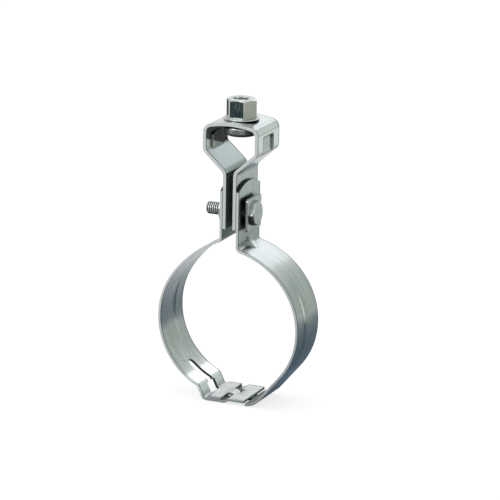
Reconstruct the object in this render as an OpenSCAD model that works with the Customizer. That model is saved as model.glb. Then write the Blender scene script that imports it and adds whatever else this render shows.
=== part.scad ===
// Two-piece pipe ring with a hooked joint at the bottom and a bolted stirrup that turns on a hanging rod.
// The pipe runs along Y, the ring's centre is the origin and +Z is up.

/* [Pipe and ring strap] */
// Outside diameter of the pipe
pipe_d = 89.1; // [76:0.1:115]
// Radial play between the pipe and the ring
pipe_play = 0.1; // [0.05:0.01:0.2]
// Width of the ring strap along the pipe
band_w = 32; // [29:1:44]
// Thickness of the ring strap
band_t = 1.5; // [1.2:0.1:2]
// Angle above the middle up to which each half lies on the pipe
seat_angle = 35; // [28:1:38]
// Turn of the left half from its middle to its lug bend
left_turn = 66; // [62:1:78]
// Turn of the right half from its middle to its lug bend
right_turn = 77; // [62:1:80]
// Angle below the middle at which the left half leaves the pipe
left_foot_angle = 64; // [62:0.5:66]
// Angle below the middle at which the right half leaves the pipe
right_foot_angle = 40; // [38:1:44]
// Angle by which the left half bends away from the pipe above its foot
left_kink = 38; // [30:1:42]
// Inside radius of that bend, on the outside of the strap
kink_r = 2; // [1.5:0.25:4]
// Inside radius of the left half's foot bend beside the hook
left_foot_r = 3; // [2.5:0.25:4]
// Inside radius of the right half's foot bend beside the hook
right_foot_r = 12; // [9:0.5:13]

/* [Stiffening bead] */
// Width of the bead along the middle of the ring strap
bead_w = 12; // [8:0.5:16]
// Height of the bead
bead_h = 0.8; // [0.3:0.1:1]
// Width of each sloping side of the bead
bead_slope = 1.6; // [1:0.1:3]
// Half angle of the bead, to both sides of the strap's middle
bead_angle = 33; // [20:1:34]
// Turn of the left half's bead below the strap's middle
left_bead_turn = 9; // [0:1:9]

/* [Lugs] */
// Height of the bolt axis above the pipe
bolt_rise = 22.5; // [20:0.5:30]
// Height of the lug above the bolt axis
lug_top = 20; // [17:0.5:22]
// Radius of the arch at the top of the lug
lug_arch_r = 30; // [24:1:60]
// Inside radius of the bend at the root of the lug
lug_bend_r = 2; // [1.5:0.25:3]
// Width of the dart pressed into the lug bend
dart_w = 9; // [6:0.5:12]
// Reach of the dart along the lug and along the strap
dart_reach = 5; // [4:0.25:6]

/* [Bottom hook] */
// Gap between the pipe and the inner layer of the hook
hook_drop = 2.4; // [1.5:0.1:4]
// Gap between the two layers of the hook
hook_gap = 0.12; // [0.08:0.01:0.3]
// Slope of the step between the two layers
step_angle = 30; // [25:1:40]
// Inside radius of the step bends
step_bend_r = 1; // [0.8:0.1:1.5]
// Play between each end of the hook and the other half's foot bend
end_play = 0.3; // [0.2:0.1:1]
// Width of the neck behind the T-head
neck_w = 9; // [7:0.5:11]
// Play between the neck and the slot, on each side
neck_play = 0.8; // [0.4:0.1:1.5]
// Distance from the middle to the inner side of the T-head
tee_x = 3.6; // [3.2:0.1:4.5]
// Distance from the tongue's end to the shoulders of the neck
shoulder_play = 0.8; // [0.5:0.1:2]
// Distance from the middle to the end of the slot in the tongue
slot_x = 3.4; // [3.2:0.1:4]
// Distance from the bend above the left foot down to the wide part of the slot
slot_lead = 0.8; // [0.5:0.1:2]
// Width of the narrow part of the slot
slot_tail_w = 6.4; // [4:0.1:8]
// Angle below the middle of the round end of the slot
slot_end_angle = 48; // [47:0.5:52]

/* [Stirrup] */
// Distance by which each edge of the stirrup strap stands back from the edge of the ring strap
stirrup_inset = 0; // [-0.5:0.1:2]
// Thickness of the stirrup strap
stirrup_t = 2; // [1.6:0.1:2.5]
// Outside width of the stirrup across its side walls
stirrup_span = 35.8; // [34:0.2:46]
// Gap between the two legs
leg_gap = 4.6; // [4:0.1:7]
// Side gap between a leg and its lug
leg_play = 0.3; // [0.2:0.05:0.6]
// Height above the bolt axis at which the legs begin to flare
leg_rise = 24.8; // [24:0.2:32]
// Length of the legs below the bolt axis
leg_tail = 8; // [7:0.5:9]
// Angle of the flares from upright
flare_angle = 48; // [40:1:55]
// Radius of the bend between leg and flare, on its outside
leg_bend_r = 4; // [3:0.5:5]
// Inside radius of the bend between flare and side wall
wall_bend_r = 3; // [2:0.5:4]
// Height of the straight part of the side walls
wall_h = 9.4; // [9:0.2:16]
// Inside radius of the top corners
corner_r = 3.5; // [2.5:0.5:5]
// Outside radius of the crown of the top plate
crown_r = 60; // [50:5:120]
// Width of the panel pressed into each side wall
panel_w = 15; // [10:0.5:18]
// Depth of the pressed panel
panel_depth = 1.2; // [0.6:0.1:1.6]
// Height of the pressed panel above the flare
panel_h = 7.6; // [6:0.1:9]
// Radius of the upper corners of the pressed panel
panel_corner_r = 3; // [2:0.5:4]

/* [Suspension nut] */
// Width across flats of the hexagon
hex_flats = 17; // [15:0.5:19]
// Height of the hexagon
hex_h = 11.5; // [8:0.5:14]
// Turn of the hexagon
hex_turn = 3; // [0:1:30]
// Radius of the round face under the hexagon
face_r = 11; // [10.6:0.1:12]
// Thickness of the round face
face_h = 0.6; // [0.4:0.1:1.5]
// Radius of the neck in the top plate
nut_neck_r = 7; // [6.4:0.1:8]
// Radial play of the neck in the top plate
nut_play = 0.1; // [0.05:0.01:0.1]
// End play of the nut on the top plate
nut_end_play = 0.15; // [0.1:0.05:0.4]
// Radius of the collar under the top plate
collar_r = 10.3; // [9:0.1:11.5]
// Height of the collar
collar_h = 6.9; // [5:0.1:9]
// Edge radius of the collar
collar_edge_r = 2.4; // [1:0.1:2.4]
// Radius of the rod thread's bore
rod_bore_r = 4.25; // [3.3:0.05:5]

/* [Clamp bolt, nut and washers] */
// Diameter of the bolt
bolt_d = 8; // [6:0.5:9]
// Radial play of the bolt in the legs
pivot_play = 0.06; // [0.03:0.01:0.1]
// Radial play of the bolt in the lugs
lug_play = 0.5; // [0.3:0.1:0.8]
// Radial play of the bolt in the nut and the washers
fastener_play = 0.05; // [0.03:0.01:0.1]
// Width across flats of the bolt head
bolt_flats = 14; // [13:0.5:15]
// Height of the bolt head
bolt_head_h = 2.5; // [2.3:0.1:5.5]
// Length of thread beyond the nut
bolt_stand_out = 9.5; // [4:0.5:14]
// Width across flats of the nut
nut_flats = 13; // [12:0.5:14]
// Height of the nut
nut_h = 5.5; // [5:0.5:7]
// Turn of the nut on the bolt
nut_turn = 12; // [0:1:30]
// Side of the square washer
plate_side = 20; // [17:0.5:22]
// Thickness of the square washer
plate_t = 1.5; // [1:0.1:2.5]
// Corner radius of the square washer
plate_corner_r = 1.5; // [1:0.5:5]
// Width of the spring washer's section
spring_w = 3.2; // [2.5:0.1:3.6]
// Thickness of the spring washer
spring_t = 2.1; // [1.6:0.1:2.6]
// Angle of the gap in the spring washer
spring_gap = 14; // [8:1:25]

/* [Hidden] */
$fn = 96;
// Overlap of pieces that meet end to end
lap = 0.01;
// Height by which neighbouring stretches of strap run over into each other
bend_lap = 0.004;
// Narrow step at each side of the slot, where its round end begins
slot_step = 0.15;
// Reach of cutters past the solids that they cut
over = 1;
// Share of a hexagon's flats that the end chamfer leaves round
chamfer_share = 0.95;
chamfer_slope = 30;

ring_r = pipe_d / 2 + pipe_play;
bolt_r = bolt_d / 2;
bolt_z = pipe_d / 2 + bolt_rise;
leg_x = leg_gap / 2 + stirrup_t;
lug_x = leg_x + leg_play;
lug_face_x = lug_x + band_t;
lug_hole_r = bolt_r + lug_play;

// Hook: depths of the inner faces of its two layers, and the step between them
layer_pitch = band_t + hook_gap;
inner_layer = pipe_d / 2 + hook_drop;
outer_layer = inner_layer + layer_pitch;
step_run = (layer_pitch - (2 * step_bend_r + band_t) * (1 - cos(step_angle))) / sin(step_angle);
step_len = (2 * step_bend_r + band_t) * sin(step_angle) + step_run * cos(step_angle);
slot_w = neck_w + 2 * neck_play;
kink_out_r = kink_r + band_t;
tee_end = foot_end_x(left_foot_angle, left_foot_r, left_kink) - end_play;
tongue_end = foot_end_x(right_foot_angle, right_foot_r, 0) - end_play;
shoulder_x = tongue_end + shoulder_play;

// Stirrup: angles, runs and heights along its bent strap
stirrup_w = band_w - 2 * stirrup_inset;
half_span = stirrup_span / 2;
corner_out_r = corner_r + stirrup_t;
wall_out_r = wall_bend_r + stirrup_t;
crown_angle = asin((half_span - corner_out_r) / (crown_r - corner_out_r));
flare_run = (half_span - leg_x - (wall_out_r + leg_bend_r) * (1 - cos(flare_angle))) / sin(flare_angle);
flare_h = (leg_bend_r + wall_out_r) * sin(flare_angle) + flare_run * cos(flare_angle);
wall_z = bolt_z + leg_rise + flare_h;
top_z = wall_z + wall_h + corner_out_r * cos(crown_angle) + crown_r * (1 - cos(crown_angle));

// Suspension nut: the collar clears the curved underside of the top plate
under_r = crown_r - stirrup_t;
collar_top = top_z - stirrup_t - nut_end_play - (under_r - sqrt(under_r ^ 2 - collar_r ^ 2));
collar_bottom = collar_top - collar_h;
face_z = top_z + nut_end_play;
hex_z = face_z + face_h;

// Clamp bolt: places along its axis
plate_x = lug_face_x + spring_t;
head_x = plate_x + plate_t;
bolt_end_x = -lug_face_x - nut_h - bolt_stand_out;

function shoulder_end_x(turn) = lug_x + (lug_bend_r + band_t) * (1 - cos(turn));
function shoulder_r(turn) = (ring_r * cos(seat_angle) - shoulder_end_x(turn)) / (cos(seat_angle) - cos(turn));
function shoulder_end_z(turn) = ring_r * sin(seat_angle) + shoulder_r(turn) * (sin(turn) - sin(seat_angle));
function lug_root_z(turn) = shoulder_end_z(turn) + (lug_bend_r + band_t) * sin(turn);
// Foot of a half: slope of its straight run, length of that run and place of its lower end
function foot_slope(angle, kink) = 90 - angle + kink;
function kink_end(angle, slope) =
    ring_r * [cos(angle), -sin(angle)] - kink_out_r * [sin(slope) - cos(angle), sin(angle) - cos(slope)];
function foot_run(angle, r, kink) = let (slope = foot_slope(angle, kink))
    (outer_layer + kink_end(angle, slope)[1] - r * (1 - cos(slope))) / sin(slope);
function foot_end_x(angle, r, kink) = let (slope = foot_slope(angle, kink))
    kink_end(angle, slope)[0] - r * sin(slope) - foot_run(angle, r, kink) * cos(slope);
function bend_reach(r) = sqrt(2 * bend_lap * r);

// A strap seen on its edge. Each step of the path is a straight run, a turn and the inside radius of that turn.
// The path starts at the origin along +X, and the strap lies on its right-hand side.
module strip(path, t, i = 0) {
    if (i < len(path)) {
        run = path[i][0];
        turn = path[i][1];
        r = path[i][2];
        back = i > 0 ? bend_reach(path[i - 1][2] + t) : 0;
        ahead = turn != 0 ? bend_reach(r + t) : 0;
        centre_y = turn < 0 ? -t - r : r;
        first = turn < 0 ? 90 + turn : -90;
        if (run > 0) translate([-back, -t]) square([back + run + ahead, t]);
        translate([run, centre_y]) {
            if (turn != 0) bend(r, t, first, first + abs(turn));
            rotate(turn) translate([0, -centre_y]) strip(path, t, i + 1);
        }
    }
}

// A bent stretch of strap: a ring between two angles
module bend(r, t, first, last) {
    far = 1.5 * (r + t);
    over_angle = acos(1 - bend_lap / (r + t));
    a = first - over_angle;
    b = last + over_angle;
    intersection() {
        difference() {
            circle(r + t);
            circle(r);
        }
        polygon([[0, 0], for (k = [0:4]) far * [cos(a + (b - a) * k / 4), sin(a + (b - a) * k / 4)]]);
    }
}

// Sweeps an outline drawn in X and Z along Y, to both sides of the middle
module across(width) {
    rotate([90, 0, 0]) linear_extrude(width, center = true) children();
}

module along_x(x) {
    translate([x, 0, bolt_z]) rotate([0, 90, 0]) children();
}

module rounded_square(side, r) {
    square([side, side - 2 * r], center = true);
    square([side - 2 * r, side], center = true);
    for (x = [-1, 1], y = [-1, 1]) translate([x, y] * (side / 2 - r)) circle(r);
}

// Hexagon prism with round chamfers on its upper end, or on both ends
module hexagon(flats, h, both_ends) {
    corner = flats / 2 / cos(30);
    flat_r = flats / 2 * chamfer_share;
    drop = (corner - flat_r) * tan(chamfer_slope);
    low = both_ends ? flat_r : corner;
    intersection() {
        cylinder(h, r = corner, $fn = 6);
        rotate_extrude() polygon([[0, 0], [low, 0], [corner, both_ends ? drop : 0],
                                  [corner, h - drop], [flat_r, h], [0, h]]);
    }
}

// Edge outline of a half on the right-hand side, from the end of its hook up to its lug
module band_outline(turn, foot_angle, foot_r, kink, end_x) {
    run = foot_run(foot_angle, foot_r, kink);
    round_turn = foot_angle + seat_angle;
    translate([-end_x, -inner_layer])
        strip([[end_x - step_len / 2, -step_angle, step_bend_r], [step_run, step_angle, step_bend_r],
               [foot_end_x(foot_angle, foot_r, kink) - step_len / 2, foot_slope(foot_angle, kink), foot_r],
               each kink > 0 ? [[run, -kink, kink_r], [0, round_turn, ring_r]] : [[run, round_turn, ring_r]],
               [0, turn - seat_angle, shoulder_r(turn)], [0, -turn, lug_bend_r],
               [bolt_z + lug_top - lug_root_z(turn), 0, 0]], band_t);
}

// Low ridge round the strap. It turns about its own centre, so that it runs out into the surface at both ends.
module bead(surface_r, depth) {
    shift = bead_h * (bead_h + 2 * surface_r) / (2 * surface_r * (1 - cos(bead_angle)) + 2 * bead_h);
    r = surface_r + bead_h - shift;
    end_angle = atan2(surface_r * sin(bead_angle), surface_r * cos(bead_angle) - shift) + 1;
    crest = bead_w / 2 - bead_slope;
    foot = crest + bead_slope * depth / bead_h;
    translate([shift, 0, 0]) rotate([90, 0, 0]) rotate(-end_angle) rotate_extrude(angle = 2 * end_angle)
        polygon([[r - depth, -foot], [r, -crest], [r, crest], [r - depth, foot]]);
}

// Rounded rib across the hollow side of a lug bend
module dart(turn) {
    foot = [lug_x + band_t / 2, lug_root_z(turn) - lug_bend_r];
    slope = 90 - turn;
    intersection() {
        across(dart_w) polygon([foot, foot + [0, dart_reach + lug_bend_r],
                                foot + (dart_reach + lug_bend_r) * [cos(slope), -sin(slope)]]);
        translate([foot[0], 0, foot[1]]) rotate([0, 135 + slope / 2, 0])
            cylinder(4 * dart_reach, r = dart_w / 2, center = true);
    }
}

// One half of the ring before its own cuts: bent strap with bead, dart, arched lug and bolt hole
module half_ring(turn, foot_angle, foot_r, kink, end_x, bead_turn) {
    arch_z = bolt_z + lug_top - lug_arch_r;
    difference() {
        union() {
            across(band_w) band_outline(turn, foot_angle, foot_r, kink, end_x);
            rotate([0, bead_turn, 0]) bead(ring_r + band_t, bead_h + band_t / 2);
            dart(turn);
        }
        rotate([0, bead_turn, 0]) bead(ring_r, bead_h + over);
        along_x(lug_x - over) cylinder(band_t + 2 * over, r = lug_hole_r);
        difference() {
            translate([lug_x - over, -band_w, bolt_z]) cube([band_t + 2 * over, 2 * band_w, lug_top + over]);
            translate([lug_x - 2 * over, 0, arch_z]) rotate([0, 90, 0])
                cylinder(band_t + 4 * over, r = lug_arch_r);
        }
    }
}

module right_band() color("lightsteelblue") {
    notch_low = -outer_layer - 2 * band_t;
    difference() {
        half_ring(right_turn, right_foot_angle, right_foot_r, 0, tee_end, 0);
        for (side = [-1, 1]) translate([-tee_x, side * (neck_w + band_w) / 2 - band_w / 2, notch_low])
            cube([tee_x + shoulder_x, band_w, 3 * layer_pitch + 2 * band_t]);
    }
}

// Cutter for the slot: wide along the flat of the hook and up the left foot, narrow on the round part
module slot_cutter() {
    slope = foot_slope(left_foot_angle, left_kink);
    up = [cos(slope), sin(slope)];
    depth = 2 * band_t * [sin(slope), -cos(slope)];
    wide_end = kink_end(left_foot_angle, slope) - slot_lead * up;
    inside = wide_end - depth;
    outside = wide_end + depth;
    low = -outer_layer - 2 * band_t;
    tail = [cos(slot_end_angle), -sin(slot_end_angle)];
    tail_step = slot_step * [sin(slot_end_angle), cos(slot_end_angle)];
    across(slot_w) polygon([inside, [-slot_x, inside[1]], [-slot_x, low], [outside[0], low], outside]);
    across(slot_tail_w) polygon([(ring_r - 2 * band_t) * tail + tail_step, inside - over * up,
                                 outside - over * up, (ring_r + 3 * band_t) * tail + tail_step]);
    translate([ring_r * tail[0], 0, ring_r * tail[1]]) rotate([0, 90 + slot_end_angle, 0])
        cylinder(4 * band_t, r = slot_tail_w / 2 - slot_step, center = true, $fn = 12);
}

module left_band() color("silver") {
    mirror([1, 0, 0]) difference() {
        half_ring(left_turn, left_foot_angle, left_foot_r, left_kink, tongue_end, left_bead_turn);
        slot_cutter();
    }
}

// Panel pressed into a side wall: rounded at its upper corners and open at the flare
module panel(x, depth) {
    foot_z = wall_z - wall_bend_r;
    top = wall_z + panel_h - foot_z;
    straight_w = panel_w - 2 * panel_corner_r;
    translate([x, 0, foot_z]) rotate([90, 0, 90]) linear_extrude(depth) {
        translate([-panel_w / 2, 0]) square([panel_w, top - panel_corner_r]);
        translate([-straight_w / 2, 0]) square([straight_w, top]);
        for (side = [-1, 1]) translate([side * straight_w / 2, top - panel_corner_r]) circle(panel_corner_r);
    }
}

module stirrup() color("gainsboro") {
    half_path = [[0, -crown_angle, under_r], [0, crown_angle - 90, corner_r],
                 [wall_h, -flare_angle, wall_bend_r], [flare_run, flare_angle, leg_bend_r],
                 [leg_rise + leg_tail, 0, 0]];
    difference() {
        union() {
            across(stirrup_w) for (side = [0, 1]) mirror([side, 0])
                translate([0, top_z]) strip(half_path, stirrup_t);
            for (side = [0, 1]) mirror([side, 0, 0]) panel(half_span - stirrup_t - panel_depth, stirrup_t);
        }
        for (side = [0, 1]) mirror([side, 0, 0]) panel(half_span - panel_depth, panel_depth + over);
        along_x(-lug_x) cylinder(2 * lug_x, r = bolt_r + pivot_play);
        translate([0, 0, top_z - stirrup_t - over])
            cylinder(stirrup_t + 2 * over, r = nut_neck_r + nut_play);
    }
}

module suspension_nut() color("darkslategray") {
    mouth = 0.8;
    nut_top = hex_z + hex_h;
    difference() {
        union() {
            translate([0, 0, hex_z - lap]) rotate(hex_turn) hexagon(hex_flats, hex_h + lap, false);
            translate([0, 0, face_z]) cylinder(face_h, r = face_r);
            translate([0, 0, collar_bottom]) cylinder(face_z - collar_bottom + lap, r = nut_neck_r);
            translate([0, 0, collar_bottom]) rotate_extrude() {
                square([collar_r - collar_edge_r, collar_h]);
                translate([0, collar_edge_r]) square([collar_r, collar_h - 2 * collar_edge_r]);
                for (z = [collar_edge_r, collar_h - collar_edge_r])
                    translate([collar_r - collar_edge_r, z]) circle(collar_edge_r);
            }
        }
        translate([0, 0, collar_bottom - over]) cylinder(nut_top - collar_bottom + 2 * over, r = rod_bore_r);
        translate([0, 0, nut_top - mouth]) cylinder(mouth + lap, r1 = rod_bore_r, r2 = rod_bore_r + mouth);
        translate([0, 0, collar_bottom - lap]) cylinder(mouth + lap, r1 = rod_bore_r + mouth, r2 = rod_bore_r);
    }
}

module clamp_bolt() color("lightgray") {
    tip = 1;
    along_x(head_x) rotate(30) hexagon(bolt_flats, bolt_head_h, false);
    along_x(bolt_end_x + tip) cylinder(head_x - bolt_end_x - tip + lap, r = bolt_r);
    along_x(bolt_end_x) cylinder(tip + lap, r1 = bolt_r - tip, r2 = bolt_r);
}

module square_washer() color("whitesmoke") {
    along_x(plate_x) linear_extrude(plate_t) difference() {
        rounded_square(plate_side, plate_corner_r);
        circle(bolt_r + fastener_play);
    }
}

module spring_washer() color("dimgray") {
    along_x(lug_face_x) rotate(spring_gap / 2) rotate_extrude(angle = 360 - spring_gap)
        translate([bolt_r + fastener_play, 0]) square([spring_w, spring_t]);
}

module clamp_nut() color("lightgray") {
    difference() {
        along_x(-lug_face_x - nut_h) rotate(nut_turn) hexagon(nut_flats, nut_h, true);
        along_x(-lug_face_x - nut_h - over) cylinder(nut_h + 2 * over, r = bolt_r + fastener_play);
    }
}

left_band();
right_band();
stirrup();
suspension_nut();
clamp_bolt();
square_washer();
spring_washer();
clamp_nut();
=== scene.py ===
import math
import bpy
import numpy as np
from mathutils import Matrix, Vector


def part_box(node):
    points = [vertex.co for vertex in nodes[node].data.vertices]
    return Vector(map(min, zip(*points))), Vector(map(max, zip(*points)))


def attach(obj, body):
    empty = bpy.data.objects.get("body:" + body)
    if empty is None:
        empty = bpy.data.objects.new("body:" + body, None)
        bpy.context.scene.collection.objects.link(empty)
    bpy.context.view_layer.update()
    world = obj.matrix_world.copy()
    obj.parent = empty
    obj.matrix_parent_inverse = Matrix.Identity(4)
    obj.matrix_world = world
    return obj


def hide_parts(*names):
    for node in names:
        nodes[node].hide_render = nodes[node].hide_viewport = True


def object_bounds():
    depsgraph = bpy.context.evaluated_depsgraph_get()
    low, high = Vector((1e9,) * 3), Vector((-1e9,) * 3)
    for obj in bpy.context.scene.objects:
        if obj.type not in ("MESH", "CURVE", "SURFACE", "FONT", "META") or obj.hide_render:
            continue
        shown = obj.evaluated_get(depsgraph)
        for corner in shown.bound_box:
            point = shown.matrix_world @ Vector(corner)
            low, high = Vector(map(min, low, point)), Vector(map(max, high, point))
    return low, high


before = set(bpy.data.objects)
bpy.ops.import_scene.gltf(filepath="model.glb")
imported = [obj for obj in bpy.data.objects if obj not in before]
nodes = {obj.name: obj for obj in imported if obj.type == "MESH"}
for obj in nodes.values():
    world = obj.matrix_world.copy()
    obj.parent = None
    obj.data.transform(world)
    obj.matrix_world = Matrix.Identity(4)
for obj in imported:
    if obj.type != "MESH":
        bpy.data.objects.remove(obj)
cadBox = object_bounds()
print("stage: frame loaded,", len(nodes), "nodes")


class Wire:  # one shader value; arithmetic on it adds Math nodes
    def __init__(self, tree, socket):
        self.tree = tree
        self.socket = socket

    def node(self, kind, settings, values, out=0):  # any other node: settings, then sockets by name or place
        made = self.tree.nodes.new(kind)
        for name, value in settings.items():
            setattr(made, name, value)
        for key, value in values.items():
            if isinstance(value, Wire):
                self.tree.links.new(value.socket, made.inputs[key])
            else:
                made.inputs[key].default_value = value
        return Wire(self.tree, made.outputs[out])

    def math(self, operation, *others):
        return self.node("ShaderNodeMath", {"operation": operation}, dict(enumerate((self,) + others)))

    def __add__(self, other):
        return self.math("ADD", other)

    def __radd__(self, other):
        return self.math("ADD", other)

    def __sub__(self, other):
        return self.math("SUBTRACT", other)

    def __rsub__(self, other):
        return self.math("MULTIPLY", -1.0) + other

    def __mul__(self, other):
        return self.math("MULTIPLY", other)

    def __rmul__(self, other):
        return self.math("MULTIPLY", other)

    def __pow__(self, other):
        return self.math("POWER", other)

    def __abs__(self):
        return self.math("ABSOLUTE")

    def larger(self, other):
        return self.math("MAXIMUM", other)

    def part(self, place):  # one number of a vector
        return self.node("ShaderNodeSeparateXYZ", {}, {0: self}, place)

    def smooth(self, low, high, start=0.0, end=1.0):  # smooth step from start to end
        return self.node("ShaderNodeMapRange", {"interpolation_type": "SMOOTHSTEP"},
                         {"Value": self, "From Min": low, "From Max": high, "To Min": start, "To Max": end})

    def fade(self, low, high):  # smooth step from 1 down to 0
        return self.smooth(low, high, 1.0, 0.0)

    def between(self, low, high, soft):  # 1 between two limits, 0 outside them
        return self.smooth(low - soft, low) * self.fade(high, high + soft)

    def tint(self, first, second):  # colour between two colours
        return self.node("ShaderNodeMix", {"data_type": "RGBA"}, {0: self, 6: first, 7: second}, 2)

    def lean(self, first, second):  # vector between two vectors
        return self.node("ShaderNodeMix", {"data_type": "VECTOR"}, {0: self, 4: first, 5: second}, 1)

    def dot(self, other):
        return self.node("ShaderNodeVectorMath", {"operation": "DOT_PRODUCT"}, {0: self, 1: other}, "Value")

    def stretched(self, scale):  # vector times a vector
        return self.node("ShaderNodeVectorMath", {"operation": "MULTIPLY"}, {0: self, 1: scale})

    def noise(self, scale, detail, rough):
        return self.node("ShaderNodeTexNoise", {},
                         {"Vector": self, "Scale": scale, "Detail": detail, "Roughness": rough})


def colour(red, green, blue):
    return (red, green, blue, 1.0)


def newMaterial(name):  # an empty node material with its output and its coordinates
    material = bpy.data.materials.new(name)
    material.use_nodes = True
    tree = material.node_tree
    tree.nodes.clear()
    output = tree.nodes.new("ShaderNodeOutputMaterial")
    coordinates = tree.nodes.new("ShaderNodeTexCoord")
    return material, tree, output, coordinates


def dartPatch(place, facing, dart):  # box round the dart in the lug's bend, on the strap's outer side alone
    outer = (place.part(0).math("SIGN") * facing.part(0) + facing.part(2)).smooth(*dart["outer"])
    inside = abs(place.part(0)).between(*dart["across"], dart["soft"])
    inside = inside * place.part(1).between(*dart["along"], dart["soft"])
    return inside * outer * place.part(2).between(*dart["upright"], dart["soft"]) * dart["share"]


def dartNormal(place, dart):  # direction that turns from the lug's face to the strap's, as in a shallow dart
    turn = (abs(place.part(0)) - place.part(2)).smooth(*dart["turn"])
    side = place.node("ShaderNodeCombineXYZ", {}, {0: place.part(0).math("SIGN"), 1: 1.0, 2: 1.0})
    smooth = turn.lean(dart["lugFace"], dart["strapFace"]).stretched(side)
    spaces = {"vector_type": "NORMAL", "convert_from": "OBJECT", "convert_to": "WORLD"}
    return smooth.node("ShaderNodeVectorTransform", spaces, {0: smooth})


# Bright steel. Long streaks lie along the rolling or turning marks, broad clouds and fine
# scratches break the gloss, faces cut across the sheet are paler and rougher, edges keep a
# painted dark line of shade, and closed-in corners get painted shade. The marks are painted
# light and shade in patches of another colour, and the black ones among them are not metal.
def steel(name, look, marks):
    material, tree, output, coordinates = newMaterial(name)
    place = Wire(tree, coordinates.outputs["Object"])
    facing = Wire(tree, coordinates.outputs["Normal"])
    streaks = place.stretched(look["streakScale"]).noise(1.0, *look["streakNoise"])
    clouds = place.noise(look["cloudScale"], *look["cloudNoise"])
    specks = place.noise(look["speckScale"], *look["speckNoise"])
    lines = place.stretched(look["lineScale"]).noise(1.0, *look["lineNoise"])
    scratchField = place.stretched(look["scratchScale"]).noise(1.0, *look["scratchNoise"])
    scratches = (abs(scratchField - 0.5).fade(0.0, look["scratchWidth"])
                 * clouds.smooth(*look["scratchClouds"]))
    cutFace = abs(facing.part(1)).smooth(*look["cutTurn"], 0.0, look["cutShare"])

    rounded = place.node("ShaderNodeBevel", {"samples": look["bevelSamples"]}, {"Radius": look["edge"]})
    nearEdge = place.node("ShaderNodeBevel", {"samples": look["bevelSamples"]}, {"Radius": look["rim"]})
    flat = place.node("ShaderNodeNewGeometry", {}, {}, "Normal")
    # Painted shade: a dark line along the edges and along the sheared edges' margins, for the shade that
    # rounded edges show
    rim = (1.0 - nearEdge.dot(flat)).smooth(*look["rimTurn"]) * look["rimShare"]
    margin = abs(place.part(1)).smooth(*look["margin"]) * look["marginShare"]  # along the sheared edges
    rim = rim.larger(margin) * (1.0 - cutFace)
    if "dart" in look:
        rounded = dartPatch(place, facing, look["dart"]).lean(rounded, dartNormal(place, look["dart"]))

    body = clouds.smooth(*look["cloudRange"]).tint(look["deep"], look["pale"])
    body = (streaks.smooth(*look["streakRange"]) * look["streakShare"]).tint(body, look["streakColour"])
    body = (lines.smooth(*look["lineRange"]) * look["lineShare"]).tint(body, look["lineColour"])
    body = cutFace.tint(body, look["cutColour"])
    # Painted shade in closed-in corners: the colour is darkened where the occlusion test finds them closed in
    for reach, start, end, share, paint in look["paintedShade"]:
        openness = place.node("ShaderNodeAmbientOcclusion", {"samples": look["paintedShadeSamples"]},
                              {"Distance": reach}, "AO")
        body = openness.smooth(start, end, share, 0.0).tint(body, paint)
    shine = 1.0
    # Each piece's painted light and shade; under the black patches the metal is turned off
    for mask, paint in marks(place, facing):
        body = mask.tint(body, paint)
        if max(paint[:3]) < look["dullBelow"]:
            shine = shine * (1.0 - mask)
    # the painted dark line of shade along the edges
    body = (rim * clouds.smooth(*look["rimClouds"])).tint(body, look["rimShade"])
    body = (specks.smooth(*look["speckRange"]) * look["speckShare"]).tint(body, look["speckColour"])

    rough = look["rough"] + (streaks - 0.5) * look["roughStreak"] + (clouds - 0.5) * look["roughCloud"]
    rough = rough + scratches * look["scratchRough"] + cutFace * look["cutRough"]
    height = streaks * look["streakDepth"] + specks * look["speckDepth"] - scratches * look["scratchDepth"]
    height = height + cutFace * specks * look["cutDepth"]
    bump = place.node("ShaderNodeBump", {}, {"Strength": look["bump"], "Distance": look["bumpDistance"],
                                             "Height": height, "Normal": rounded})
    shader = place.node("ShaderNodeBsdfPrincipled", {}, {
        "Base Color": body, "Metallic": shine, "Specular IOR Level": look["dullShine"], "Normal": bump,
        "Roughness": rough.larger(look["leastRough"])})
    tree.links.new(shader.socket, output.inputs["Surface"])
    return material


# Each row of painted shade in closed-in corners: reach, open share where it is full, open share where it
# ends, strength, colour.
cornerPaintedShade = [(0.018, 0.35, 0.85, 0.55, colour(0.16, 0.20, 0.175)),
              (0.008, 0.15, 0.6, 1.0, colour(0.02, 0.03, 0.024))]
stirrupPaintedShade = [cornerPaintedShade[0], (0.008, 0.15, 0.6, 0.45, colour(0.02, 0.03, 0.024))]  # thinner in narrow gaps
steelLook = {  # what all the steel has in common; noise settings are detail and roughness
    "streakNoise": (5.0, 0.6), "streakRange": (0.35, 0.75),
    "cloudNoise": (3.0, 0.5), "cloudRange": (0.3, 0.7),
    "speckNoise": (4.0, 0.7), "speckRange": (0.56, 0.72), "speckShare": 0.4,
    "speckColour": colour(0.3, 0.33, 0.31),
    "lineNoise": (2.0, 0.5), "lineRange": (0.46, 0.66),
    "scratchNoise": (2.0, 0.4), "scratchWidth": 0.012, "scratchClouds": (0.45, 0.62), "scratchRough": 0.12,
    "cutTurn": (0.8, 0.97), "cutShare": 0.0, "cutColour": colour(0.66, 0.68, 0.675),
    "cutRough": 0.35, "cutDepth": 0.8, "margin": (0.0146, 0.0152), "marginShare": 0.0,
    "rimClouds": (0.25, 0.6, 0.6, 1.0), "rimShade": colour(0.07, 0.09, 0.085), "bevelSamples": 6,
    "paintedShade": cornerPaintedShade, "paintedShadeSamples": 8, "dullBelow": 0.1, "dullShine": 0.05,
    "bumpDistance": 0.0001, "leastRough": 0.06,
}
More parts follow.
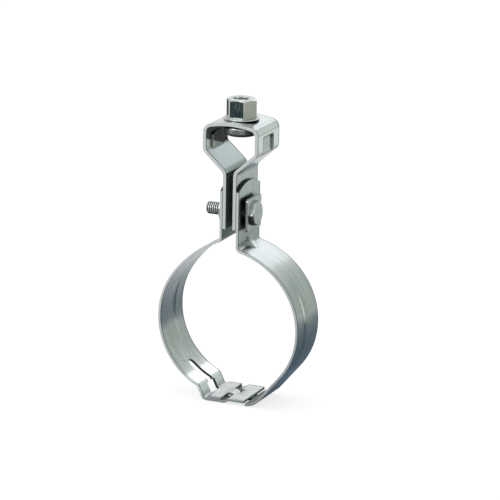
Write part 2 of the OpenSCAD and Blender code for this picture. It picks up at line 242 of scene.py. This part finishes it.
strapLook = dict(steelLook, **{
    "streakScale": (60.0, 1400.0, 60.0), "streakShare": 0.5, "streakColour": colour(0.46, 0.50, 0.49),
    "cloudScale": 55.0, "deep": colour(0.51, 0.55, 0.53), "pale": colour(0.60, 0.62, 0.61),
    "speckScale": 900.0, "scratchScale": (90.0, 500.0, 90.0),
    "lineScale": (22.0, 420.0, 22.0), "lineShare": 0.32, "lineColour": colour(0.33, 0.37, 0.355),
    "cutShare": 1.0, "marginShare": 0.8,
    "edge": 0.0004, "rim": 0.0009, "rimTurn": (0.004, 0.04), "rimShare": 0.8,
    "rough": 0.2, "roughStreak": 0.14, "roughCloud": 0.1,
    "streakDepth": 0.5, "speckDepth": 0.12, "scratchDepth": 0.25, "bump": 0.35,
})
turnedLook = dict(steelLook, **{
    "streakScale": (120.0, 120.0, 2600.0), "streakShare": 0.45, "streakColour": colour(0.46, 0.50, 0.48),
    "cloudScale": 90.0, "deep": colour(0.52, 0.56, 0.54), "pale": colour(0.62, 0.63, 0.61),
    "speckScale": 1100.0, "scratchScale": (400.0, 400.0, 120.0),
    "lineScale": (60.0, 60.0, 500.0), "lineShare": 0.2, "lineColour": colour(0.38, 0.42, 0.4),
    "edge": 0.0002, "rim": 0.0004, "rimTurn": (0.012, 0.12), "rimShare": 0.75,
    "rough": 0.13, "roughStreak": 0.1, "roughCloud": 0.08,
    "streakDepth": 0.4, "speckDepth": 0.1, "scratchDepth": 0.2, "bump": 0.3,
})
boltLook = dict(steelLook, **{
    "streakScale": (1500.0, 160.0, 160.0), "streakShare": 0.4, "streakColour": colour(0.48, 0.51, 0.5),
    "cloudScale": 120.0, "deep": colour(0.54, 0.57, 0.55), "pale": colour(0.64, 0.66, 0.64),
    "speckScale": 1400.0, "scratchScale": (150.0, 700.0, 700.0),
    "lineScale": (60.0, 300.0, 300.0), "lineShare": 0.2, "lineColour": colour(0.38, 0.42, 0.4),
    "edge": 0.00015, "rim": 0.0004, "rimTurn": (0.03, 0.2), "rimShare": 0.2,
    "rough": 0.18, "roughStreak": 0.1, "roughCloud": 0.1,
    "streakDepth": 0.35, "speckDepth": 0.15, "scratchDepth": 0.2, "bump": 0.3,
})

# Painted light on the bolt's pieces: highlights on the thread's crests, shade in its roots and on all
# undersides
boltLightAndShade = {"height": 0.06705, "seat": (0.0075, 0.008), "shank": (0.00399, 0.004), "endFace": (0.85, 0.95),
            "ridge": (0.00355, 0.00372), "crestHighlight": colour(0.9, 0.92, 0.91),
            "rootShade": colour(0.012, 0.016, 0.014),
            "under": (-0.15, -0.5), "underShare": 0.95, "underShade": colour(0.008, 0.011, 0.01)}


def boltPaintedLight(place, facing):  # painted highlights on the thread's crests, painted shade in its roots and on the undersides
    sideways, upwards = place.part(1), place.part(2) - boltLightAndShade["height"]
    radius = (sideways * sideways + upwards * upwards) ** 0.5
    shank = place.part(0).fade(*boltLightAndShade["seat"]) * radius.fade(*boltLightAndShade["shank"])
    shank = shank * abs(facing.part(0)).fade(*boltLightAndShade["endFace"])
    crest = radius.smooth(*boltLightAndShade["ridge"])
    under = facing.part(2).smooth(*boltLightAndShade["under"]) * boltLightAndShade["underShare"]
    return [(shank * crest, boltLightAndShade["crestHighlight"]), (shank * (1.0 - crest), boltLightAndShade["rootShade"]),
            (under, boltLightAndShade["underShade"])]


# Painted shade on the swivel nut's collar, with a lighter painted reflection band round its middle
collarShade = {"top": (0.1185, 0.1195), "band": (0.04, 0.22), "reflectedBand": 0.5, "share": 0.95,
              "paint": colour(0.02, 0.026, 0.023)}


def collarPaintedShade(place, facing):  # painted shade on the collar under the top plate, lighter round its middle as a painted reflection
    collar = place.part(2).fade(*collarShade["top"])
    band = abs(facing.part(2)).smooth(*collarShade["band"], collarShade["reflectedBand"], 1.0)
    return [(collar * band * collarShade["share"], collarShade["paint"])]


# Painted shade on the inner sides of the legs, in the gap between them
legShade = {"side": (-0.0022, -0.001), "top": (0.0905, 0.0925), "share": 0.92,
           "paint": colour(0.05, 0.062, 0.05)}
# Painted shade: the top plate's upper face is painted greyer
plateShade = {"turn": (0.6, 0.9), "height": (0.116, 0.1175), "share": 0.35, "paint": colour(0.44, 0.455, 0.45)}
# Painted shade on the inner sides of the walls and their pressed panels
innerPanelShade = {"side": (-0.012, -0.009), "width": (-0.0055, 0.03), "widthSoft": 0.0008,
             "height": (0.104, 0.1172), "heightSoft": 0.001, "share": 0.9, "paint": colour(0.15, 0.19, 0.155)}
# Painted shadow: black under the top plate and on the walls just below it
ceilingShadow = {"turn": (-0.02, -0.25), "height": (0.112, 0.115), "slope": 0.3, "wallTop": (0.1078, 0.1092),
               "share": 0.95, "paint": colour(0.008, 0.011, 0.009)}
# Painted highlight on the outer walls
outerWallHighlight = {"side": (0.011, 0.016), "foot": (0.104, 0.107), "share": 0.8, "paint": colour(0.93, 0.95, 0.94)}
# Painted shade on the flares' upper faces
flareShade = {"turn": (0.35, 0.55), "height": (0.09, 0.1085), "soft": 0.001, "share": 0.6,
             "paint": colour(0.36, 0.42, 0.42)}
# Painted shade in the crease round each pressed panel
recessShade = {"width": (-0.0075, 0.0075), "soft": 0.0003, "top": (0.1155, 0.1159), "line": (0.0003, 0.0008),
              "side": (0.0, 0.012), "share": 0.8, "paint": colour(0.12, 0.14, 0.115)}


# The stirrup's painted light and shade: painted shade on the inner sides of the legs, on the
# top plate's upper face, on the inner panels and on the flares, a painted black shadow under
# the top plate, a painted highlight on the outer walls, and painted shade in the crease round
# each pressed panel.
def stirrupPaintedLight(place, facing):
    along, height, upFacing = place.part(1), place.part(2), facing.part(2)
    outward = place.part(0) * facing.part(0)
    legs = outward.fade(*legShade["side"]) * height.fade(*legShade["top"])
    plate = upFacing.smooth(*plateShade["turn"]) * height.smooth(*plateShade["height"])
    inside = outward.fade(*innerPanelShade["side"])
    patch = inside * along.between(*innerPanelShade["width"], innerPanelShade["widthSoft"])
    patch = patch * height.between(*innerPanelShade["height"], innerPanelShade["heightSoft"])
    ceiling = upFacing.smooth(*ceilingShadow["turn"]) * height.smooth(*ceilingShadow["height"])
    sloped = height + along * ceilingShadow["slope"]
    ceiling = ceiling.larger(inside * sloped.smooth(*ceilingShadow["wallTop"]))
    belowTop = height.fade(*recessShade["top"])
    betweenSides = along.between(*recessShade["width"], recessShade["soft"])
    aboveFoot = height.smooth(*outerWallHighlight["foot"])
    outside = outward.smooth(*outerWallHighlight["side"]) * aboveFoot * (1.0 - betweenSides * belowTop)
    flare = upFacing.smooth(*flareShade["turn"]) * height.between(*flareShade["height"], flareShade["soft"])
    sideLine = abs(abs(along) - recessShade["width"][1]).fade(*recessShade["line"]) * belowTop
    topLine = abs(height - recessShade["top"][1]).fade(*recessShade["line"]) * betweenSides
    crease = sideLine.larger(topLine) * outward.smooth(*recessShade["side"]) * aboveFoot
    masks = ((legs, legShade), (plate, plateShade), (patch, innerPanelShade), (ceiling, ceilingShadow),
             (outside, outerWallHighlight), (flare, flareShade), (crease, recessShade))
    return [(mask * mark["share"], mark["paint"]) for mask, mark in masks]


# Dart: a bent shading normal, with painted shade on its sides
dartLook = {"outer": (0.0, 0.3), "across": (0.0062, 0.0145), "along": (-0.0065, 0.0065),
            "upright": (0.042, 0.0575), "soft": 0.0008, "share": 0.9, "turn": (-0.047, -0.037),
            "lugFace": (1.0, 0.0, 0.0), "strapFace": (0.25, 0.0, 0.97), "slant": (0.1, 0.3),
            "shadeShare": 0.55, "paint": colour(0.3, 0.34, 0.32)}
# Painted shadow: black on the edges over the lugs
archShadow = {"turn": (0.12, 0.4), "height": (0.068, 0.07), "share": 1.0, "paint": colour(0.009, 0.012, 0.01)}
# Painted shade on the lugs' inner sides, between the lugs
gapShade = {"side": (-0.0042, -0.003), "height": (0.05, 0.055), "share": 0.85,
           "paint": colour(0.11, 0.14, 0.115)}
# Painted highlight on the left foot
footHighlight = {"across": (-0.036, -0.017), "soft": 0.002, "top": (-0.037, -0.035), "share": 0.8,
            "paint": colour(0.95, 0.98, 1.0)}
# Painted shade on the slot's edges
slotShade = {"half": (0.0056, 0.006), "turn": (0.4, 0.7), "top": (0.0, 0.002), "share": 1.0,
            "paint": colour(0.03, 0.036, 0.034)}
# Painted shade on the hook's neck
neckShade = {"across": (-0.006, 0.006), "along": (-0.0056, 0.0056), "soft": 0.0004, "top": (-0.03, -0.028),
            "share": 0.7, "paint": colour(0.36, 0.39, 0.38)}


# The bands' painted light and shade: black painted shadow on the edges over the lugs and in
# the slot, painted shade on the inner sides of the lugs, a painted highlight on the foot, and
# painted shade on the hook's neck and the dart's sides.
def bandPaintedLight(place, facing):
    across, along, height = place.part(0), place.part(1), place.part(2)
    arch = facing.part(2).smooth(*archShadow["turn"]) * height.smooth(*archShadow["height"])
    gap = (across * facing.part(0)).fade(*gapShade["side"]) * height.smooth(*gapShade["height"])
    foot = across.between(*footHighlight["across"], footHighlight["soft"]) * height.fade(*footHighlight["top"])
    slot = abs(facing.part(1)).smooth(*slotShade["turn"]) * abs(along).fade(*slotShade["half"])
    slot = slot * height.fade(*slotShade["top"])
    neck = (across.between(*neckShade["across"], neckShade["soft"])
            * along.between(*neckShade["along"], neckShade["soft"]))
    neck = neck * height.fade(*neckShade["top"])
    masks = ((arch, archShadow), (gap, gapShade), (foot, footHighlight), (slot, slotShade), (neck, neckShade))
    # painted shade on the dart's sides
    dart = dartPatch(place, facing, dartLook) * abs(facing.part(1)).smooth(*dartLook["slant"])
    return [(mask * mark["share"], mark["paint"]) for mask, mark in masks] + [
        (dart * dartLook["shadeShare"], dartLook["paint"])]


stirrupSteel = steel("foldedStirrupSteel", dict(strapLook, paintedShade=stirrupPaintedShade), stirrupPaintedLight)
bandSteel = steel("rolledBandSteel", dict(strapLook, dart=dartLook), bandPaintedLight)
turnedSteel = steel("turnedNutSteel", turnedLook, collarPaintedShade)
boltSteel = steel("formedBoltSteel", boltLook, boltPaintedLight)
print("stage: materials made")

around = 144
turnAngles = np.linspace(0.0, 2.0 * np.pi, around, endpoint=False)
coneSlope = math.tan(math.radians(30))
sharpAngle = math.radians(28)


# Radius of a hexagon: half the flats over the cosine of the angle from the nearest flat,
# kept under a limit that takes the sharp corner off.
def hexRadius(flats, firstFlat, cornerCut=0.00025):
    fromFlat = np.mod(turnAngles - firstFlat + np.pi / 6, np.pi / 3) - np.pi / 6
    return np.minimum(flats / 2 / np.cos(fromFlat), flats / math.sqrt(3) - cornerCut)


# Height of a screw thread from 0 to 1: a triangle wave along the axis that climbs one
# pitch a turn, with its crest and root cut flat.
def threadHeight(along, pitch, gain=1.3, cut=0.15):
    phase = np.mod(along / pitch - turnAngles / (2 * np.pi), 1.0)
    return np.clip(gain * np.abs(2.0 * phase - 1.0) - cut, 0.0, 1.0)


# Rings of points: each row is a distance along the axis, a radius and a count of rings. The
# first two are one number, a row of angles, a column of rings or a grid of both.
def rings(*rows):
    along = np.concatenate([np.broadcast_to(row[0], (row[2], around)) for row in rows])
    radius = np.concatenate([np.broadcast_to(row[1], (row[2], around)) for row in rows])
    return along, radius


# Points round an axis: cosine and sine of the angle times the radius, across the axis. The
# axis runs along Z, or along X with the angle measured from -Z to +Y.
def turnedPoints(along, radius, axis, axisHeight=0.0):
    first = radius * np.cos(turnAngles)
    second = radius * np.sin(turnAngles)
    if axis == "z":
        return np.stack((first, second, along), axis=-1)
    return np.stack((along, second, axisHeight - first), axis=-1)


# A closed mesh from a grid of rings: neighbours are joined by quads, and the ends are
# joined to each other or closed by one flat face each.
def ringMesh(name, points, joined, material, body, replaced):
    count = points.shape[0]
    vertices = points.reshape(-1, 3)
    index = np.arange(count * around).reshape(count, around)
    low = index if joined else index[:-1]
    high = np.roll(index, -1, axis=0) if joined else index[1:]
    quads = np.stack((low, np.roll(low, -1, axis=1), np.roll(high, -1, axis=1), high), axis=-1).reshape(-1, 4)
    faces = quads.tolist()
    if not joined:
        faces += [index[0][::-1].tolist(), index[-1].tolist()]
    mesh = bpy.data.meshes.new(name)
    mesh.from_pydata(vertices.tolist(), [], faces)
    corners = vertices[quads]
    spans = np.cross(corners[:, 1] - corners[:, 0], corners[:, 2] - corners[:, 0])
    if np.einsum("ij,ij->", spans, corners[:, 0] - vertices.mean(axis=0)) < 0:  # faces look inwards
        mesh.flip_normals()
    mesh.update()
    mesh.shade_smooth()
    mesh.set_sharp_from_angle(angle=sharpAngle)
    piece = bpy.data.objects.new(name, mesh)
    bpy.context.scene.collection.objects.link(piece)
    mesh.materials.append(material)
    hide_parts(replaced)
    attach(piece, body)


boltSize = {"headHeight": 0.0025, "flats": 0.014, "major": 0.00398, "minor": 0.00324, "pitch": 0.00125,
            "tip": 0.001, "plain": 0.0008, "stepsPerPitch": 12, "flatShare": 0.95, "middleShare": 0.5,
            "neckShare": 0.98}


# Bolt from the middle of its head to its tip: flat top, 30 degree cone that cuts the
# hexagon's corners, flat sides, and a shank whose radius follows the thread.
def makeBolt(size):
    low, high = (Vector(c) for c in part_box("clamp_bolt"))
    top, seat, end = high.x, high.x - size["headHeight"], low.x
    corner = hexRadius(size["flats"], 0.0)
    flatTop = size["flats"] / 2 * size["flatShare"]
    shoulder = top - (corner - flatTop) * coneSlope
    steps = int((seat - end) / size["pitch"] * size["stepsPerPitch"])
    along = np.linspace(seat - size["plain"], end, steps)[:, None]
    ridge = size["minor"] + (size["major"] - size["minor"]) * threadHeight(along, size["pitch"])
    ridge = np.minimum(ridge, size["major"] - size["tip"] + along - end)
    shape = rings((top, flatTop * size["middleShare"], 1), (top, flatTop, 1), (shoulder, corner, 1),
                  (seat, corner, 1), (seat, size["minor"] * size["neckShare"], 1), (along, ridge, steps))
    points = turnedPoints(*shape, "x", (low.z + high.z) / 2)
    ringMesh("threadedBolt", points, False, boltSteel, "ring", "clamp_bolt")


clampNutSize = {"flats": 0.013, "firstFlat": 42.0, "bore": 0.00405, "flatShare": 0.95, "mouth": 0.0005}


# Nut as a closed tube: bore, countersunk mouth, face, cone at each end and flat sides.
def makeClampNut(size):
    low, high = (Vector(c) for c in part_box("clamp_nut"))
    corner = hexRadius(size["flats"], math.radians(size["firstFlat"]))
    flatTop = size["flats"] / 2 * size["flatShare"]
    drop = (corner - flatTop) * coneSlope
    mouth, bore = size["mouth"], size["bore"]
    shape = rings((low.x + mouth, bore, 1), (low.x, bore + mouth, 1), (low.x, flatTop, 1),
                  (low.x + drop, corner, 1), (high.x - drop, corner, 1), (high.x, flatTop, 1),
                  (high.x, bore + mouth, 1), (high.x - mouth, bore, 1))
    points = turnedPoints(*shape, "x", (low.z + high.z) / 2)
    ringMesh("hexClampNut", points, True, boltSteel, "ring", "clamp_nut")


rodNutSize = {"flats": 0.017, "firstFlat": 33.0, "hexHeight": 0.0115, "faceRadius": 0.011,
              "faceHeight": 0.0006, "faceEdge": 0.0001, "faceDrop": 0.0002, "faceInset": 0.0003,
              "neckRadius": 0.007, "collarRadius": 0.0103, "collarHeight": 0.0069, "edgeRadius": 0.0024,
              "bore": 0.00425, "threadDepth": 0.00075, "pitch": 0.0015, "mouth": 0.0008, "flatShare": 0.95,
              "edgeSteps": 10, "stepsPerPitch": 12}


# Swivel nut as a closed tube: round-edged collar, neck, thin round face, hexagon with a
# conical top, countersunk mouths and a bore whose radius follows the thread.
def makeRodNut(size):
    low, high = (Vector(c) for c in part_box("suspension_nut"))
    corner = hexRadius(size["flats"], math.radians(size["firstFlat"]))
    flatTop = size["flats"] / 2 * size["flatShare"]
    shoulder = high.z - (corner - flatTop) * coneSlope
    hexFoot = high.z - size["hexHeight"]
    face, faceRadius = hexFoot - size["faceHeight"], size["faceRadius"]
    collarTop = low.z + size["collarHeight"]
    bore, mouth, edge, neck = size["bore"], size["mouth"], size["edgeRadius"], size["neckRadius"]
    edgeMiddle = size["collarRadius"] - edge
    sweep = np.linspace(0.0, np.pi / 2, size["edgeSteps"])[:, None]
    lowEdge = (low.z + edge - edge * np.cos(sweep), edgeMiddle + edge * np.sin(sweep), size["edgeSteps"])
    highEdge = (collarTop - edge + edge * np.sin(sweep), edgeMiddle + edge * np.cos(sweep), size["edgeSteps"])
    steps = int((high.z - low.z - 2 * mouth) / size["pitch"] * size["stepsPerPitch"])
    along = np.linspace(high.z - mouth, low.z + mouth, steps)[:, None]
    groove = bore + size["threadDepth"] * threadHeight(along, size["pitch"])
    shape = rings((low.z, bore + mouth, 1), lowEdge, highEdge, (collarTop, neck, 1), (face, neck, 1),
                  (face, faceRadius - size["faceEdge"], 1), (face + size["faceEdge"], faceRadius, 1),
                  (hexFoot - size["faceDrop"], faceRadius, 1), (hexFoot, faceRadius - size["faceInset"], 1),
                  (hexFoot, corner, 1), (shoulder, corner, 1), (high.z, flatTop, 1),
                  (high.z, bore + mouth, 1), (along, groove, steps))
    points = turnedPoints(*shape, "z")
    ringMesh("swivelRodNut", points, True, turnedSteel, "rod_nut", "suspension_nut")


makeBolt(boltSize)
makeClampNut(clampNutSize)
makeRodNut(rodNutSize)
print("stage: threaded pieces made")

for nodeName, material in (("left_band", bandSteel), ("right_band", bandSteel), ("stirrup", stirrupSteel),
                           ("square_washer", boltSteel), ("spring_washer", boltSteel)):
    for materialSlot in nodes[nodeName].material_slots:
        materialSlot.material = material
print("stage: straps and washers coloured")

cameraLook = {"azimuth": 23.8, "elevation": 16.6, "roll": 1.0, "distance": 2.0, "focalPixels": 3290.0,
              "ringPixel": (238.0, 317.6), "picture": 500.0, "sensor": 36.0, "farEnd": 50.0}


# Camera on a sphere round the ring's centre, turned so that this centre falls on its pixel.
def makeCamera(look):
    azimuth, elevation, roll = (math.radians(look[key]) for key in ("azimuth", "elevation", "roll"))
    back = Vector((math.sin(azimuth) * math.cos(elevation), -math.cos(azimuth) * math.cos(elevation),
                   math.sin(elevation)))
    level = Vector((math.cos(azimuth), math.sin(azimuth), 0.0))
    upright = back.cross(level)
    right = math.cos(roll) * level + math.sin(roll) * upright
    up = math.cos(roll) * upright - math.sin(roll) * level
    half = look["picture"] / 2
    sideways, upwards = half - look["ringPixel"][0], look["ringPixel"][1] - half
    turnedBack = (back * look["focalPixels"] - right * sideways - up * upwards).normalized()
    turnedRight = up.cross(turnedBack).normalized()
    turnedUp = turnedBack.cross(turnedRight)
    data = bpy.data.cameras.new("photoCamera")
    data.sensor_width = look["sensor"]
    data.lens = look["focalPixels"] / look["picture"] * look["sensor"]
    data.clip_end = look["farEnd"]
    camera = bpy.data.objects.new("photoCamera", data)
    turn = Matrix((turnedRight, turnedUp, turnedBack)).transposed().to_4x4()
    camera.matrix_world = Matrix.Translation(back * look["distance"]) @ turn
    bpy.context.scene.collection.objects.link(camera)
    bpy.context.scene.camera = camera


makeCamera(cameraLook)
print("stage: camera placed")


def flatQuad(name, corners):  # one flat face as an object of its own
    mesh = bpy.data.meshes.new(name)
    mesh.from_pydata([tuple(corner) for corner in corners], [], [(0, 1, 2, 3)])
    quad = bpy.data.objects.new(name, mesh)
    bpy.context.scene.collection.objects.link(quad)
    return quad


def seenRays(tree):  # 1 for rays that see or mirror, 0 for those that light
    rays = tree.nodes.new("ShaderNodeLightPath").outputs
    seen = Wire(tree, rays["Is Camera Ray"]).larger(Wire(tree, rays["Is Glossy Ray"]))
    return seen.larger(Wire(tree, rays["Is Transmission Ray"]))


floorLook = {"gap": 0.0003, "half": 4.0, "paint": colour(0.94, 0.94, 0.94),
             "grainPaint": colour(0.9, 0.9, 0.9), "grainNoise": (300.0, 2.0, 0.5), "grainShare": 0.02,
             "shownPaint": colour(0.3, 0.3, 0.3), "glow": 0.76}
floorHeight = cadBox[0].z - floorLook["gap"]


# Pale floor: a plain square just below the object, whose seen colour is part glow and part
# lit paint, so that it is white and still takes the shadow.
def makeFloor(look):
    half = look["half"]
    floor = flatQuad("paleFloor", [(-half, -half, floorHeight), (half, -half, floorHeight),
                                   (half, half, floorHeight), (-half, half, floorHeight)])
    material, tree, output, coordinates = newMaterial("palePaint")
    start = Wire(tree, coordinates.outputs["Object"])
    paint = (start.noise(*look["grainNoise"]) * look["grainShare"]).tint(look["paint"], look["grainPaint"])
    lit = start.node("ShaderNodeBsdfDiffuse", {}, {"Color": paint})
    partLit = start.node("ShaderNodeBsdfDiffuse", {}, {"Color": look["shownPaint"]})
    glow = start.node("ShaderNodeEmission", {}, {"Color": colour(1.0, 1.0, 1.0), "Strength": look["glow"]})
    shown = start.node("ShaderNodeAddShader", {}, {0: partLit, 1: glow})
    surface = start.node("ShaderNodeMixShader", {}, {0: seenRays(tree), 1: lit, 2: shown})
    tree.links.new(surface.socket, output.inputs["Surface"])
    floor.data.materials.append(material)


makeFloor(floorLook)

# Cards: a corner above the floor, two sides, where the card fades in and out along each
# side, and a colour that changes from near to far along the second side.
cardLooks = [
    {"name": "frontGreyCard", "corner": (-0.8, -1.3, 0.0002), "u": (1.5, 0.0, 0.0), "v": (0.0, 1.4, 0.0),
     "uRamp": (0.0, 0.3, 0.7, 1.0), "vRamp": (0.0, 0.3, 0.7, 1.0), "change": (0.0, 1.0),
     "near": colour(0.5, 0.55, 0.55), "far": colour(0.5, 0.55, 0.55), "strength": 0.75},
    {"name": "frontDarkCard", "corner": (-0.62, -1.6, 0.0004), "u": (0.85, 0.0, 0.0), "v": (0.0, 1.3, 0.0),
     "uRamp": (0.0, 0.15, 0.75, 1.0), "vRamp": (0.0, 0.08, 0.8, 1.0), "change": (0.0, 1.0),
     "near": colour(0.02, 0.05, 0.05), "far": colour(0.025, 0.055, 0.06), "strength": 1.0},
    {"name": "backDarkCard", "corner": (-0.2, -0.3, 0.0008), "u": (0.85, 0.0, 0.0), "v": (0.0, 1.8, 0.0),
     "uRamp": (0.0, 0.3, 0.65, 1.0), "vRamp": (0.0, 0.12, 0.66, 1.0), "change": (0.11, 0.59),
     "near": colour(0.03, 0.075, 0.125), "far": colour(0.86, 0.91, 0.87), "strength": 1.0},
    {"name": "backRightCard", "corner": (0.25, 0.35, 0.001), "u": (1.1, 0.0, 0.0), "v": (0.0, 1.3, 0.0),
     "uRamp": (0.0, 0.18, 0.85, 1.0), "vRamp": (0.0, 0.15, 0.9, 1.0), "change": (0.0, 1.0),
     "near": colour(0.33, 0.40, 0.36), "far": colour(0.42, 0.48, 0.43), "strength": 0.95},
    {"name": "rightGreyCard", "corner": (0.36, -0.9, 0.0012), "u": (1.3, 0.0, 0.0), "v": (0.0, 1.5, 0.0),
     "uRamp": (0.0, 0.1, 0.9, 1.0), "vRamp": (0.0, 0.2, 0.8, 1.0), "change": (0.0, 1.0),
     "near": colour(0.5, 0.5, 0.43), "far": colour(0.5, 0.5, 0.43), "strength": 0.9},
    {"name": "leftBackCard", "corner": (-0.85, 0.28, 0.0016), "u": (0.62, 0.0, 0.0), "v": (0.0, 0.6, 0.0),
     "uRamp": (0.0, 0.25, 0.75, 1.0), "vRamp": (0.0, 0.25, 0.75, 1.0), "change": (0.0, 1.0),
     "near": colour(0.04, 0.065, 0.065), "far": colour(0.04, 0.065, 0.065), "strength": 0.95},
    {"name": "backGreyCard", "corner": (0.28, 1.6, 0.0), "u": (1.9, -0.5, 0.0), "v": (0.0, 0.2, 1.5),
     "uRamp": (0.0, 0.16, 0.95, 1.0), "vRamp": (-1.0, 0.0, 0.8, 1.0), "change": (0.0, 1.0),
     "near": colour(0.52, 0.585, 0.53), "far": colour(0.76, 0.82, 0.84), "strength": 1.0},
]
cardMap = (0.0, 0.0, 1.0, 0.0, 1.0, 1.0, 0.0, 1.0)


# Studio card: a flat quad out of the camera's sight that only the metal mirrors. Its colour
# runs along one side, and it fades out towards its edges.
def makeCard(look):
    corner = np.array(look["corner"]) + (0.0, 0.0, floorHeight)
    u, v = np.array(look["u"]), np.array(look["v"])
    card = flatQuad(look["name"], (corner, corner + u, corner + u + v, corner + v))
    card.data.uv_layers.new(name="cardMap").data.foreach_set("uv", cardMap)
    material, tree, output, coordinates = newMaterial(look["name"] + "Paint")
    start = Wire(tree, coordinates.outputs["UV"])
    along, over = start.part(0), start.part(1)
    mask = along.smooth(*look["uRamp"][:2]) * along.fade(*look["uRamp"][2:])
    mask = mask * over.smooth(*look["vRamp"][:2]) * over.fade(*look["vRamp"][2:])
    paint = over.smooth(*look["change"]).tint(look["near"], look["far"])
    paint = start.node("ShaderNodeEmission", {}, {"Color": paint, "Strength": 1.0})
    clear = start.node("ShaderNodeBsdfTransparent", {}, {})
    shader = start.node("ShaderNodeMixShader", {}, {0: mask * look["strength"], 1: clear, 2: paint})
    tree.links.new(shader.socket, output.inputs["Surface"])
    card.data.materials.append(material)
    card.visible_camera = False
    card.visible_diffuse = False
    card.visible_shadow = False


for cardLook in cardLooks:
    makeCard(cardLook)
print("stage: floor and cards made")

worldLook = {"paint": colour(1.0, 1.0, 1.0), "fill": 0.8}


# Studio world: white where it is seen or mirrored, softer where it lights.
def makeWorld(look):
    world = bpy.data.worlds.new("studioWorld")
    world.use_nodes = True
    bpy.context.scene.world = world
    tree = world.node_tree
    tree.nodes.clear()
    output = tree.nodes.new("ShaderNodeOutputWorld")
    level = seenRays(tree) * (1.0 - look["fill"]) + look["fill"]
    sky = level.node("ShaderNodeBackground", {}, {"Color": look["paint"], "Strength": level})
    tree.links.new(sky.socket, output.inputs["Surface"])


makeWorld(worldLook)

plainWhite = (1.0, 1.0, 1.0)
lampLooks = [
    {"name": "overheadBox", "place": (-0.3, -0.2, 1.5), "aim": (0.0, 0.0, 0.05), "size": 1.1, "power": 3.8,
     "tint": plainWhite},
    {"name": "frontLeftBox", "place": (-0.9, -1.7, 0.75), "aim": (0.0, 0.0, 0.04), "size": 1.0, "power": 6.5,
     "tint": plainWhite},
    {"name": "rightBox", "place": (1.5, -0.2, 0.6), "aim": (0.0, 0.0, 0.04), "size": 0.8, "power": 2.0,
     "tint": plainWhite},
    {"name": "backBox", "place": (-0.2, 1.7, 1.2), "aim": (0.0, 0.0, 0.05), "size": 1.2, "power": 2.5,
     "tint": (0.86, 0.92, 1.0)},
]


def makeLamp(look):  # square soft box that looks at its aim
    data = bpy.data.lights.new(look["name"], "AREA")
    data.shape = "SQUARE"
    data.size = look["size"]
    data.energy = look["power"]
    data.color = look["tint"]
    lamp = bpy.data.objects.new(look["name"], data)
    place = Vector(look["place"])
    lamp.location = place
    lamp.rotation_euler = (place - Vector(look["aim"])).to_track_quat("Z", "Y").to_euler()
    bpy.context.scene.collection.objects.link(lamp)


for lampLook in lampLooks:
    makeLamp(lampLook)
bpy.context.scene.view_settings.view_transform = "Standard"
print("stage: world and lamps made")
